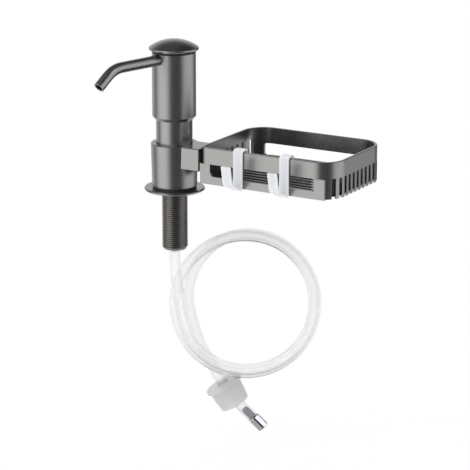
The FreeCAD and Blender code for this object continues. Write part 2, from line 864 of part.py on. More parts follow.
louver_back = block("louver_back", (
    f"{cell_right} + divider",
    f"{basket_front} + blade_depth",
    rail_top,
), (
    f"{panel_right} - panel_end - {cell_right} - divider",
    "panel_thickness",
    f"{band_low} - {rail_top} + overrun",
))
panel_body = cut("panel_body", panel_plate, [open_cell, louver_back] + louver_gaps())
front_ledge = block("front_ledge", (
    f"{basket_left} + corner_radius",
    f"{basket_front} + panel_thickness / 2",
    basket_low,
), ("basket_length - 2 * corner_radius", "panel_thickness / 2 + ledge_depth", "ledge_height"))
node("louver_panel", join("louver_panel", [panel_body, front_ledge]))

# Slotted drain tray on the two ledges.
tray_inset = "(basket_wall + tray_gap)"
tray_low = f"({basket_low} + ledge_height)"
tray_plate = slab("tray_plate", "XY_Plane", *basket_outline(tray_inset), tray_low, "tray_thickness")


def tray_slots():
    middle = f"({basket_left} + basket_length / 2)"
    count = int(size("tray_slot_count"))
    return [
        block(f"tray_slot_{index}", (
            f"{middle} + {index - (count - 1) / 2} * tray_slot_pitch - tray_slot_width / 2",
            f"{basket_front} + tray_slot_margin",
            f"{tray_low} - overrun",
        ), ("tray_slot_width", "basket_depth - 2 * tray_slot_margin", "tray_thickness + 2 * overrun"))
        for index in range(count)
    ]


node("drain_tray", cut("drain_tray", tray_plate, tray_slots()))

# Two screws from inside the basket into the arm.
screw_face = f"({basket_left} + basket_wall)"
screws = []
for side, place in screw_sides.items():
    screw_head = rod(f"screw_head_{side}", "screw_head_radius", "screw_head_height",
                     (f"{screw_face} + screw_head_height", place, arm_middle), screw_way)
    screw_stem = rod(f"screw_stem_{side}", "screw_radius", "screw_length",
                     (screw_face, place, arm_middle), screw_way)
    screws.append(join(f"screw_{side}", [screw_head, screw_stem]))
basket_screws = doc.addObject("Part::Compound", "basket_screws")
basket_screws.Links = screws
node("basket_screws", basket_screws)


# Clear hooks: one strip bent over the rim, down the front and out into a lip.
def hook_shape(place):
    half = size("hook_thickness / 2")
    front = size(basket_front)
    top = size(f"{basket_top} + hook_clearance") + half
    strip = front - size("hook_clearance") - half
    inner = front + size("hook_span") + half
    low = size(f"{basket_low} - hook_below") + half
    toe = strip - size("hook_throat")
    toe_level = low + size("hook_rise")
    left = size(f"{basket_left} + {place} - hook_width / 2")
    points = [
        Vector(left, inner, top - size("hook_inner_leg")),
        Vector(left, inner, top),
        Vector(left, strip, top),
        Vector(left, strip, low),
        Vector(left, toe, toe_level),
        Vector(left, toe - size("hook_lean"), toe_level + size("hook_lip")),
    ]
    path = rounded_path(points, size("hook_bend"))
    start = points[0]
    across = Vector(0, half, 0)
    wide = Vector(size("hook_width"), 0, 0)
    corners = [start - across, start + across, start + across + wide, start - across + wide]
    return swept(path, Part.makePolygon(corners + corners[:1]))


node("hook_left", made("hook_left", hook_shape("hook_first")))
node("hook_right", made("hook_right", hook_shape("hook_second")))


# Suction tube: a straight lead out of the shank, two loose turns and a straight tail.
coil_along = bearing("coil_bearing")
coil_toward = Vector(coil_along.y, -coil_along.x, 0)
down = Vector(0, 0, -1)
tube_radius = size("tube_radius")
tube_bore = size("tube_bore")


coil_reaches = [
    "reach_lead", "reach_low", "reach_side", "reach_high", "reach_middle",
    "reach_back_low", "reach_back_side", "reach_back_high", "reach_end",
]


def coil_knots():
    # One knot each quarter turn, at its own reach from the coil's middle.
    turns = [index / 4 for index in range(len(coil_reaches))]
    turns[0] = size("coil_first_turn")
    reaches = [size(name) for name in coil_reaches]
    sink = math.tan(math.radians(size("coil_tilt")))
    step = size("coil_step")
    knots = []
    for index, (turn, reach) in enumerate(zip(turns, reaches)):
        before = max(index - 1, 0)
        after = min(index + 1, len(turns) - 1)
        growth = (reaches[after] - reaches[before]) / (turns[after] - turns[before])
        swing = 2 * math.pi * turn
        around = 2 * math.pi * reach
        back = size("coil_setback") + step * turn
        along = size("coil_offset") - reach * math.cos(swing)
        level = size("coil_level") - reach * math.sin(swing) - back * sink
        along_way = around * math.sin(swing) - growth * math.cos(swing)
        level_way = -around * math.cos(swing) - growth * math.sin(swing) - step * sink
        spot = coil_along * along - coil_toward * back + Vector(0, 0, level)
        way = coil_along * along_way - coil_toward * step + Vector(0, 0, level_way)
        knots.append((spot, unit(way)))
    return knots


def straight_hose(start, way, length):
    path = Part.Wire(Part.LineSegment(start, start + way * length).toShape())
    return hose(path, start, way, tube_radius, tube_bore)


lead_start = Vector(0, 0, size("0 - barrel_drop - seat_gap"))
lead_end = lead_start + down * size("lead_length")
node("tube_lead", made("tube_lead", straight_hose(lead_start, down, size("lead_length"))))


def tail_direction(droop):
    fall = math.radians(size(droop))
    forward = math.radians(size("tail_forward"))
    level = coil_along * math.cos(fall) + down * math.sin(fall)
    return level * math.cos(forward) + coil_toward * math.sin(forward)


tail_way = tail_direction("tail_droop")
tip_way = tail_direction("tip_droop")
tail_start = coil_along * size("tail_out") - coil_toward * size("tail_setback")
tail_start = tail_start + Vector(0, 0, size("tail_level"))
tail_corner = tail_start + tail_way * size("tail_run")
tip_end = tail_corner + tip_way * size("tip_run")


def least_gap(path, skip):
    # The nearest that two places on the tube come, more than skip apart along it.
    count = int(path.Length / tube_radius)
    spots = path.discretize(Number=count)
    apart = int(skip / tube_radius)
    nearest = min(
        (spots[first] - spots[second]).Length
        for first in range(count)
        for second in range(first + apart, count)
    )
    return nearest - 2 * tube_radius


def coil_shape():
    end_run = 2 * tube_radius
    knots = [(lead_end + down * end_run, down)]
    knots.extend(coil_knots())
    knots.append((tail_start - tail_way * end_run, tail_way))
    edges = [Part.LineSegment(lead_end, knots[0][0]).toShape()]
    edges.extend(wound_path(knots))
    edges.append(Part.LineSegment(knots[-1][0], tail_start).toShape())
    path = Part.Wire(Part.__sortEdges__(edges))
    solid = hose(path, lead_end, down, tube_radius, tube_bore)
    section = math.pi * (tube_radius ** 2 - tube_bore ** 2)
    print("coil: length", round(path.Length, 1), "volume by section and length",
          round(solid.Volume / (section * path.Length), 5), "least gap to itself",
          round(least_gap(path, 2 * size("reach_end")), 2))
    bends = [edge.Curve.Radius for edge in edges if hasattr(edge.Curve, "Radius")]
    print("coil: tightest arc", round(min(bends), 1))
    return solid, path.Length


coil_solid, coil_length = coil_shape()
node("tube_coil", made("tube_coil", coil_solid))
tail_path = rounded_path([tail_start, tail_corner, tip_end], size("tail_bend"))
node("tube_tail", made("tube_tail", hose(tail_path, tail_start, tail_way, tube_radius, tube_bore)))
print("tube: whole length", round(size("lead_length") + coil_length + tail_path.Length, 1))


# Pieces on the tail are turned about their own Z axis, which is then laid along the tail.
def laid(start, way, along):
    return FreeCAD.Placement(start + way * along, FreeCAD.Rotation(Vector(0, 0, 1), way))


# The stopper grips the tube under its disc and is hollow below, where the tube bends away.
stopper_end = "(stopper_disc_height + stopper_length)"
stopper = node("bottle_stopper", lathe("bottle_stopper", [
    ("tube_radius + turn_gap", "0"),
    ("stopper_disc_radius - stopper_edge", "0"),
    ("stopper_disc_radius", "stopper_edge"),
    ("stopper_disc_radius", "stopper_disc_height - stopper_edge"),
    ("stopper_disc_radius - stopper_edge", "stopper_disc_height"),
    ("stopper_radius", "stopper_disc_height"),
    ("stopper_foot_radius", f"{stopper_end} - stopper_edge"),
    ("stopper_foot_radius - stopper_edge", stopper_end),
    ("stopper_foot_radius - stopper_wall", stopper_end),
    ("stopper_foot_radius - stopper_wall", "stopper_grip"),
    ("tube_radius + turn_gap", "stopper_grip"),
]))
stopper.Placement = laid(tail_start, tail_way, size("stopper_place"))

valve_place = laid(tip_end, tip_way, size("seat_gap"))
valve_corner = f"(valve_flat / cos({half_turn} / valve_sides))"
valve_core = lathe("valve_core", [
    ("valve_socket", "0"),
    (f"{valve_corner} - valve_edge", "0"),
    (valve_corner, "valve_edge"),
    (valve_corner, "valve_length - valve_edge"),
    (f"{valve_corner} - valve_edge", "valve_length"),
    ("valve_inlet", "valve_length"),
    ("valve_inlet", "valve_seat_end"),
    ("valve_room", "valve_room_end"),
    ("valve_room", "valve_socket_depth"),
    ("valve_socket", "valve_socket_depth"),
])
valve_hexagon = doc.addObject("Part::Prism", "valve_hexagon")
valve_hexagon.Polygon = int(size("valve_sides"))
valve_hexagon.setExpression("Circumradius", bound(valve_corner))
valve_hexagon.setExpression("Height", bound("valve_length"))
valve_body = doc.addObject("Part::Common", "valve_body")
valve_body.Base = valve_hexagon
valve_body.Tool = valve_core
valve_body.Placement = valve_place
node("foot_valve_body", valve_body)

valve_barb = node("foot_valve_barb", lathe("foot_valve_barb", [
    ("valve_inlet", "0 - valve_barb_length"),
    (f"{barb_radius} - barb_tip", "0 - valve_barb_length"),
    (barb_radius, "barb_taper - valve_barb_length"),
    (barb_radius, "0"),
    ("valve_socket - seat_gap", "0"),
    ("valve_socket - seat_gap", "valve_socket_depth"),
    ("valve_inlet", "valve_socket_depth"),
]))
valve_barb.Placement = valve_place

valve_half_angle = "atan((valve_room - valve_inlet) / (valve_seat_end - valve_room_end))"
valve_point = f"(valve_seat_end + valve_inlet / tan({valve_half_angle}))"
valve_ball_level = f"({valve_point} - (valve_ball_radius + seat_gap) / sin({valve_half_angle}))"
valve_ball = doc.addObject("Part::Sphere", "foot_valve_ball")
valve_ball.setExpression("Radius", bound("valve_ball_radius"))
valve_ball.Placement = laid(tip_end, tip_way, size(f"seat_gap + {valve_ball_level}"))
node("foot_valve_ball", valve_ball)

# Every object has to be sound, and every piece one or more closed solids, before any file is written.
doc.recompute()
broken = [piece.Label for piece in doc.Objects if "Invalid" in piece.State or "Error" in piece.State]
if broken:
    raise RuntimeError(f"these did not build: {broken}")
for label, piece in nodes.items():
    if piece.Shape.isNull() or not piece.Shape.isValid() or not piece.Shape.Solids:
        raise RuntimeError(f"{label} is not a sound solid")

os.makedirs("parts", exist_ok=True)
for label, piece in nodes.items():
    piece.Shape.exportStep(f"parts/{label}.step")
    box = piece.Shape.BoundBox
    print(f"{label}: {len(piece.Shape.Solids)} solid(s), volume {piece.Shape.Volume:.1f},",
          f"x {box.XMin:.1f} to {box.XMax:.1f}, y {box.YMin:.1f} to {box.YMax:.1f},",
          f"z {box.ZMin:.1f} to {box.ZMax:.1f}")
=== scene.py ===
import math
import bmesh
import bpy
from mathutils import Matrix, Vector


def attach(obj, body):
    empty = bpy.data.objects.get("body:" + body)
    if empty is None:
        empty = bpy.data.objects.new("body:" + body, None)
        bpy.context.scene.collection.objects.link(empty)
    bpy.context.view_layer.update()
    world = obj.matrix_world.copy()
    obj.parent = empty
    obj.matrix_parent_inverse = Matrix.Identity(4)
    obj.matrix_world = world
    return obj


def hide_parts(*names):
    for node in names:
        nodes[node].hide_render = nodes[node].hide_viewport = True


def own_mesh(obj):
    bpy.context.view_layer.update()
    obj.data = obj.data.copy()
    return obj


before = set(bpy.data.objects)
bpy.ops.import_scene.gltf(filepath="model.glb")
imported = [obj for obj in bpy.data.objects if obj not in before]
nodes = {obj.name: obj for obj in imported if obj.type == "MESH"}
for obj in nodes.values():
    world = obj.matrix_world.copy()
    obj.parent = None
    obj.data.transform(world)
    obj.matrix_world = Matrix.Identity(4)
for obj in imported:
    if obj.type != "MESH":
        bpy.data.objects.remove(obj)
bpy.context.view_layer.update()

scene = bpy.context.scene
scene.view_settings.view_transform = "Standard"
weldGap = 0.000001
print("frame loaded:", len(nodes), "nodes")

# camera at the photograph's angle
photoCamera = {
    "azimuth": 30.13, "elevation": 15.48,  # degrees
    "distance": 2.31891, "aimRight": 0.05592, "aimUp": -0.0427, "farthest": 20,
    "focalPixels": 2500, "framePixels": 470, "sensor": 36.0,
}


def addCamera(spec):
    az, el = math.radians(spec["azimuth"]), math.radians(spec["elevation"])
    back = Vector((math.sin(az) * math.cos(el), -math.cos(az) * math.cos(el), math.sin(el)))
    right = Vector((math.cos(az), math.sin(az), 0))
    up = back.cross(right)
    data = bpy.data.cameras.new("photoCamera")
    data.sensor_width = spec["sensor"]
    data.lens = spec["focalPixels"] / spec["framePixels"] * spec["sensor"]
    data.clip_end = spec["farthest"]
    cam = bpy.data.objects.new("photoCamera", data)
    place = right * spec["aimRight"] + up * spec["aimUp"] + back * spec["distance"]
    cam.matrix_world = Matrix.Translation(place) @ Matrix((right, up, back)).transposed().to_4x4()
    scene.collection.objects.link(cam)
    scene.camera = cam


addCamera(photoCamera)
print("camera placed")


# node helpers: an input takes a value or another node's output
def feed(tree, socket, value):
    if isinstance(value, bpy.types.NodeSocket):
        tree.links.new(value, socket)
    else:
        socket.default_value = value


def newNode(tree, kind, feeds=(), **settings):
    node = tree.nodes.new(kind)
    for key, value in settings.items():
        setattr(node, key, value)
    for key, value in dict(feeds).items():
        feed(tree, node.inputs[key], value)
    return node


def mathNode(tree, operation, *values):
    node = newNode(tree, "ShaderNodeMath", operation=operation)
    for socket, value in zip(node.inputs, values):
        feed(tree, socket, value)
    return node.outputs[0]


def mixNode(tree, kind, factor, a, b):
    feeds = {"Factor": factor, "A": a, "B": b}
    return newNode(tree, "ShaderNodeMix", feeds, data_type=kind).outputs["Result"]


def softStep(tree, value, low, high):
    feeds = {"Value": value, "From Min": low, "From Max": high}
    return newNode(tree, "ShaderNodeMapRange", feeds, interpolation_type="SMOOTHSTEP").outputs["Result"]


def opaque(color):
    return [*color, 1]


# studio: a dim room with upright lights that fade overhead, two round ones, and white behind
studio = {
    "room": 0.13, "backdrop": 1.0, "fill": 0.95, "leastFlat": 0.001,
    # degrees, with bearings from +X
    "upright": [
        {"bearing": -122, "half": 4, "fade": 45, "strength": 1.95},
        {"bearing": 25, "half": 8, "fade": 44, "strength": 1.45},
        {"bearing": 142, "half": 22, "fade": 36, "strength": 0.9},
    ],
    "round": [
        {"bearing": -75, "rise": 30, "half": 8, "fade": 24, "strength": 1.7},
        {"bearing": 7, "rise": 35, "half": 7, "fade": 6, "strength": 2.2},
    ],
    "top": {"from": 0.3, "to": 0.72, "left": 0.15},  # share of the light left overhead
}


def addGlow(tree, light, toward, lamp):
    full = math.cos(math.radians(lamp["half"]))
    none = math.cos(math.radians(lamp["half"] + lamp["fade"]))
    return mathNode(tree, "MULTIPLY_ADD", softStep(tree, toward, none, full), lamp["strength"], light)


def addStudio(spec):
    world = bpy.data.worlds.new("studio")
    world.use_nodes = True
    scene.world = world
    tree = world.node_tree
    tree.nodes.clear()
    direction = newNode(tree, "ShaderNodeTexCoord").outputs["Generated"]
    x, y, z = newNode(tree, "ShaderNodeSeparateXYZ", {0: direction}).outputs
    light = spec["room"]
    flat = mathNode(tree, "SQRT", mathNode(tree, "SUBTRACT", 1.0, mathNode(tree, "POWER", z, 2.0)))
    flat = mathNode(tree, "MAXIMUM", flat, spec["leastFlat"])
    for lamp in spec["upright"]:
        bearing = math.radians(lamp["bearing"])
        across = mathNode(tree, "MULTIPLY", x, math.cos(bearing))
        across = mathNode(tree, "MULTIPLY_ADD", y, math.sin(bearing), across)
        light = addGlow(tree, light, mathNode(tree, "DIVIDE", across, flat), lamp)
    above = softStep(tree, z, spec["top"]["from"], spec["top"]["to"])
    dimming = mathNode(tree, "MULTIPLY_ADD", above, spec["top"]["left"] - 1, 1.0)
    light = mathNode(tree, "MULTIPLY", light, dimming)
    for lamp in spec["round"]:
        bearing, rise = math.radians(lamp["bearing"]), math.radians(lamp["rise"])
        ahead = mathNode(tree, "MULTIPLY", x, math.cos(bearing) * math.cos(rise))
        ahead = mathNode(tree, "MULTIPLY_ADD", y, math.sin(bearing) * math.cos(rise), ahead)
        ahead = mathNode(tree, "MULTIPLY_ADD", z, math.sin(rise), ahead)
        light = addGlow(tree, light, ahead, lamp)
    path = newNode(tree, "ShaderNodeLightPath").outputs
    seen = mathNode(tree, "MAXIMUM", path["Is Camera Ray"], path["Is Transmission Ray"])
    strength = mixNode(tree, "FLOAT", path["Is Diffuse Ray"], light, spec["fill"])
    strength = mixNode(tree, "FLOAT", seen, strength, spec["backdrop"])
    back = newNode(tree, "ShaderNodeBackground", {"Color": (1, 1, 1, 1), "Strength": strength})
    newNode(tree, "ShaderNodeOutputWorld", {"Surface": back.outputs[0]})


addStudio(studio)

# floor: white to the eye, with a faint shadow
floorSpec = {"level": -0.262, "centre": (0.06, 0.03), "radius": 0.45, "around": 96, "tone": 0.93, "shade": 0.06}


def addFloor(spec):
    bm = bmesh.new()
    bmesh.ops.create_circle(bm, cap_ends=True, segments=spec["around"], radius=spec["radius"])
    bmesh.ops.translate(bm, verts=bm.verts, vec=(*spec["centre"], spec["level"]))
    mesh = bpy.data.meshes.new("floor")
    bm.to_mesh(mesh)
    bm.free()
    floor = bpy.data.objects.new("floor", mesh)
    scene.collection.objects.link(floor)
    mat = bpy.data.materials.new("paleFloor")
    mat.use_nodes = True
    tree = mat.node_tree
    tree.nodes.clear()
    matt = newNode(tree, "ShaderNodeBsdfDiffuse", {"Color": opaque([spec["tone"]] * 3)})
    white = newNode(tree, "ShaderNodeEmission")
    path = newNode(tree, "ShaderNodeLightPath").outputs
    seen = mathNode(tree, "MAXIMUM", path["Is Camera Ray"], path["Is Transmission Ray"])
    seen = mathNode(tree, "MAXIMUM", seen, path["Is Glossy Ray"])
    share = mathNode(tree, "MULTIPLY", seen, 1 - spec["shade"])
    mix = newNode(tree, "ShaderNodeMixShader", {0: share, 1: matt.outputs[0], 2: white.outputs[0]})
    newNode(tree, "ShaderNodeOutputMaterial", {"Surface": mix.outputs[0]})
    mesh.materials.append(mat)


addFloor(floorSpec)

lampSpec = {"place": (-0.7, -1.1, 1.4), "aim": (0.06, 0.0, 0.0), "size": 1.2, "power": 6.0}


def addLamp(spec):
    data = bpy.data.lights.new("softTop", "AREA")
    data.shape = "DISK"
    data.size = spec["size"]
    data.energy = spec["power"]
    lamp = bpy.data.objects.new("softTop", data)
    lamp.location = spec["place"]
    lamp.rotation_euler = (Vector(spec["aim"]) - Vector(spec["place"])).to_track_quat("-Z", "Y").to_euler()
    scene.collection.objects.link(lamp)


addLamp(lampSpec)
print("studio lit")

# fine grain shared by the finishes: a mask round 0.5 and a bumped normal
grainSpec = {
    "inputs": {"Scale": 900.0, "Stretch": 1.0, "Depth": 0.00002}, "detail": 3, "strength": 0.5,
}


def makeGrain(spec):
    group = bpy.data.node_groups.new("fineGrain", "ShaderNodeTree")
    for name, value in spec["inputs"].items():
        socket = group.interface.new_socket(name, in_out="INPUT", socket_type="NodeSocketFloat")
        socket.default_value = value
    group.interface.new_socket("Mask", in_out="OUTPUT", socket_type="NodeSocketFloat")
    group.interface.new_socket("Normal", in_out="OUTPUT", socket_type="NodeSocketVector")
    given = newNode(group, "NodeGroupInput").outputs
    coords = newNode(group, "ShaderNodeTexCoord").outputs["Object"]
    squeeze = newNode(group, "ShaderNodeCombineXYZ", {"X": 1, "Y": 1, "Z": given["Stretch"]})
    squeezed = newNode(group, "ShaderNodeVectorMath", {0: coords, 1: squeeze.outputs[0]}, operation="MULTIPLY")
    noise = newNode(group, "ShaderNodeTexNoise", {
        "Vector": squeezed.outputs[0], "Scale": given["Scale"], "Detail": spec["detail"]}).outputs["Fac"]
    bump = newNode(group, "ShaderNodeBump", {
        "Strength": spec["strength"], "Distance": given["Depth"], "Height": noise})
    newNode(group, "NodeGroupOutput", {"Mask": noise, "Normal": bump.outputs["Normal"]})
    return group


fineGrain = makeGrain(grainSpec)


# painted edge light: the colour turns to a lighter or darker tone where a surface turns away from the eye,
# standing in for reflection
def addPaintedRim(tree, color, paintedRim):
    edge = opaque(paintedRim["color"])
    if "under" in paintedRim:
        # a deeper one on the lower side, painted shade, by the piece's own attribute
        side = newNode(tree, "ShaderNodeAttribute", attribute_name="under")
        edge = mixNode(tree, "RGBA", side.outputs["Fac"], edge, opaque(paintedRim["under"]))
    facing = newNode(tree, "ShaderNodeLayerWeight", {"Blend": paintedRim["blend"]})
    return mixNode(tree, "RGBA", facing.outputs["Facing"], color, edge)


# a stretch of the piece is painted another tone: painted shade on the louver blades, a darker middle beside the
# hooks' painted edge highlights
def addPaintedZone(tree, color, zone):
    coords = newNode(tree, "ShaderNodeTexCoord").outputs["Object"]
    place = newNode(tree, "ShaderNodeSeparateXYZ", {0: coords}).outputs
    inside = 1.0
    for axis, (low, high) in zone["span"].items():
        over = mathNode(tree, "GREATER_THAN", place[axis], low)
        below = mathNode(tree, "LESS_THAN", place[axis], high)
        inside = mathNode(tree, "MULTIPLY", mathNode(tree, "MULTIPLY", over, below), inside)
    return mixNode(tree, "RGBA", inside, color, opaque(zone["color"]))


# grain is a scale, a stretch and a depth, spread varies the roughness and shade the tone
def makeFinish(name, color, rough, metallic=0.0, grain=(), spread=0.06, shade=0.08,
               paintedRim=None, zone=None, **fixed):
    mat = bpy.data.materials.new(name)
    mat.use_nodes = True
    tree = mat.node_tree
    texture = newNode(tree, "ShaderNodeGroup", node_tree=fineGrain)
    for socket, value in zip(grainSpec["inputs"], grain):
        texture.inputs[socket].default_value = value
    mask = texture.outputs["Mask"]
    darker = opaque(c * (1 - shade) for c in color)
    lighter = opaque(min(c * (1 + shade), 1) for c in color)
    tone = mixNode(tree, "RGBA", mask, darker, lighter)
    if paintedRim:
        tone = addPaintedRim(tree, tone, paintedRim)
    if zone:
        tone = addPaintedZone(tree, tone, zone)
    gloss = newNode(tree, "ShaderNodeMapRange", {
        "Value": mask, "To Min": max(rough - spread, 0.0), "To Max": rough + spread})
    feeds = {
        "Base Color": tone, "Metallic": metallic, "Roughness": gloss.outputs["Result"],
        "Normal": texture.outputs["Normal"],
    }
    for socket, value in fixed.items():
        feeds[socket.replace("_", " ")] = value
    shader = tree.nodes["Principled BSDF"]
    for socket, value in feeds.items():
        feed(tree, shader.inputs[socket], value)
    return mat


satin = {
    "color": (0.218, 0.215, 0.21), "rough": 0.28, "metallic": 0.96, "grain": (1400, 0.12, 0.000003),
    "spread": 0.03, "shade": 0.03,
}
satinGunmetal = makeFinish("satinGunmetal", **satin)
# painted shade: the louver blades are painted near black, as if in the shade of the band above them
louverShadeZone = {"span": {"X": (0.0655, 0.1513), "Z": (0.0209, 0.0323)}, "color": (0.075, 0.074, 0.073)}
louverShadedMetal = makeFinish("louverShadedMetal", **satin, zone=louverShadeZone)
darkThread = makeFinish("darkThread", (0.185, 0.177, 0.17), 0.28, 0.97, grain=(1200, 1, 0.000005),
                        spread=0.03, shade=0.05)
blackNylonAndShade = makeFinish("blackNylonAndShade", (0.012, 0.012, 0.012), 0.5, grain=(700, 1, 0.00003))
pumpPlastic = makeFinish("pumpPlastic", (0.72, 0.72, 0.71), 0.42, grain=(600, 1, 0.00002))
darkTrayAndShade = makeFinish("darkTrayAndShade", (0.02, 0.02, 0.021), 0.75, grain=(600, 1, 0.00003), Specular_IOR_Level=0.12)
sealRubber = makeFinish("sealRubber", (0.02, 0.02, 0.02), 0.6, grain=(500, 1, 0.00004))
plainSteel = makeFinish("plainSteel", (0.55, 0.55, 0.55), 0.25, 1.0, grain=(1500, 1, 0.00001))
polished = {"metallic": 1.0, "grain": (1500, 1, 0.000004), "spread": 0.02, "shade": 0.03}
# painted reflection: the chrome turns white and the barb bluish where their surfaces turn away from the eye
brightChrome = makeFinish("brightChrome", (0.2, 0.21, 0.23), 0.07, **polished,
                          paintedRim={"blend": 0.5, "color": (1.0, 1.0, 1.0)})
darkBarb = makeFinish("darkBarb", (0.03, 0.035, 0.05), 0.12, **polished,
                      paintedRim={"blend": 0.5, "color": (0.16, 0.2, 0.3)})
softStopper = makeFinish("softStopper", (0.74, 0.74, 0.735), 0.5, grain=(400, 1, 0.00004), shade=0.03,
                         Transmission_Weight=0.4, IOR=1.15)
# painted shade: the tube greys at its edges and turns near black on its lower side
clearTube = makeFinish("clearTube", (1.0, 1.0, 1.0), 0.2, grain=(60, 1, 0.0000005), spread=0.03, shade=0.01,
                       paintedRim={"blend": 0.5, "color": (0.82, 0.83, 0.84), "under": (0.0, 0.005, 0.01)},
                       Transmission_Weight=0.88, IOR=1.03,
                       Coat_Weight=0.2, Coat_Roughness=0.1, Coat_IOR=1.45)
print("finishes mixed")

nodeFinishes = [
    (satinGunmetal, ("base_flange", "neck_tube", "head_sleeve", "head_core", "dome_cap", "spout",
                     "caddy_collar", "basket_frame")),
    (louverShadedMetal, ("louver_panel",)),
    (darkTrayAndShade, ("drain_tray",)),
    (darkThread, ("threaded_shank",)),
    (blackNylonAndShade, ("swivel_bush",)),
    (pumpPlastic, ("pump_barrel", "stem_gland", "inlet_fitting", "inlet_cage", "piston")),
    (sealRubber, ("piston_seal",)),
    (plainSteel, ("inlet_ball", "pump_stem", "return_spring", "basket_screws", "foot_valve_ball")),
    (clearTube, ("tube_lead", "tube_coil", "tube_tail")),
    (softStopper, ("bottle_stopper",)),
    (brightChrome, ("foot_valve_body",)),
    (darkBarb, ("foot_valve_barb",)),
]


def coverNode(name, mat):
    slots = nodes[name].data.materials
    slots.clear()
    slots.append(mat)


for mat, names in nodeFinishes:
    for name in names:
        coverNode(name, mat)
print("nodes covered")


# piece helpers
def addPiece(name, bm, mat, body, replaced=(), smooth=40):
    mesh = bpy.data.meshes.new(name)
    bm.to_mesh(mesh)
    bm.free()
    mesh.materials.append(mat)
    piece = bpy.data.objects.new(name, mesh)
    scene.collection.objects.link(piece)
    if smooth:
        mesh.shade_smooth()
        mesh.set_sharp_from_angle(angle=math.radians(smooth))
    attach(piece, body)
    if replaced:
        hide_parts(*replaced)
    return piece


def drawLine(bm, points):
    verts = [bm.verts.new(p) for p in points]
    return verts, [bm.edges.new(pair) for pair in zip(verts, verts[1:])]


def vertsIn(geom):
    return [v for v in geom if isinstance(v, bmesh.types.BMVert)]


def edgesIn(geom):
    return [e for e in geom if isinstance(e, bmesh.types.BMEdge)]


# rings joined each to the following one, and the last to the first
def joinRings(bm, rows):
    rings = [[bm.verts.new(p) for p in row] for row in rows]
    for ring, following in zip(rings, rings[1:] + rings[:1]):
        for i in range(len(ring)):
            bm.faces.new((ring[i - 1], ring[i], following[i], following[i - 1]))


def routeMesh(points, depth, around=16, steps=10, capped=False):
    data = bpy.data.curves.new("route", "CURVE")
    data.dimensions = "3D"
    spline = data.splines.new("NURBS")
    spline.points.add(len(points) - 1)
    for place, point in zip(spline.points, points):
        place.co = (*point, 1)
    spline.order_u = 3
    spline.use_endpoint_u = True
    spline.resolution_u = steps
    data.bevel_depth = depth
    data.bevel_resolution = around
    data.use_fill_caps = capped
    curve = bpy.data.objects.new("route", data)
    scene.collection.objects.link(curve)
    bpy.context.view_layer.update()
    graph = bpy.context.evaluated_depsgraph_get()
    mesh = bpy.data.meshes.new_from_object(curve.evaluated_get(graph))
    bpy.data.objects.remove(curve)
    return mesh


# suction tube: the route's points, its two loose turns by a loop, and the tail
tubeSpec = {
    "radius": 0.0053, "bore": 0.0038, "length": 1.0313, "rimReach": 0.00795,
    "shadeFrom": 0.35,  # how far a wall faces down before it darkens
    "lead": [(0, 0, -0.0461), (0, 0, -0.0681), (0, 0, -0.0787)],
    "bearing": 30.0, "offset": 0.0661, "level": -0.1108, "setback": 0.002, "step": 0.016, "tilt": 17.0,
    "reaches": [0.0623, 0.066, 0.0645, 0.0664, 0.0671, 0.0695, 0.0664, 0.0689, 0.0544],  # each quarter turn
    "perTurn": 16, "outward": 1.0194, "first": 1, "last": 32,
    "tail": {"out": 0.0271, "level": -0.1725, "setback": 0.038, "droop": 60.0, "tipDroop": 45.2,
             "forward": 2.5, "run": 0.0476, "tip": 0.0313, "straight": 0.0106},
}


def tubeRoute(spec):
    bearing = math.radians(spec["bearing"])
    along = Vector((math.cos(bearing), math.sin(bearing), 0))
    toward = Vector((along.y, -along.x, 0))
    upward = Vector((0, 0, 1))
    points = [Vector(p) for p in spec["lead"]]
    reaches = spec["reaches"]
    for index in range(spec["first"], spec["last"] + 1):
        turn = index / spec["perTurn"]
        quarters = turn * 4
        quarter = min(int(quarters), len(reaches) - 2)
        blend = quarters - quarter
        blend = blend * blend * (3 - 2 * blend)
        reach = (reaches[quarter] * (1 - blend) + reaches[quarter + 1] * blend) * spec["outward"]
        swing = 2 * math.pi * turn
        back = spec["setback"] + spec["step"] * turn
        level = spec["level"] - reach * math.sin(swing) - back * math.tan(math.radians(spec["tilt"]))
        points.append(along * (spec["offset"] - reach * math.cos(swing)) - toward * back + upward * level)
    tail = spec["tail"]
    forward = math.radians(tail["forward"])

    def way(droop):
        fall = math.radians(droop)
        return (along * math.cos(fall) - upward * math.sin(fall)) * math.cos(forward) + toward * math.sin(forward)

    start = along * tail["out"] - toward * tail["setback"] + upward * tail["level"]
    corner = start + way(tail["droop"]) * tail["run"]
    points.append(start - way(tail["droop"]) * tail["straight"])
    points.append(start + way(tail["droop"]) * tail["straight"])
    points.append(corner)
    points.append(corner + way(tail["tipDroop"]) * tail["tip"] / 2)
    points.append(corner + way(tail["tipDroop"]) * tail["tip"])
    return points


tubePoints = tubeRoute(tubeSpec)


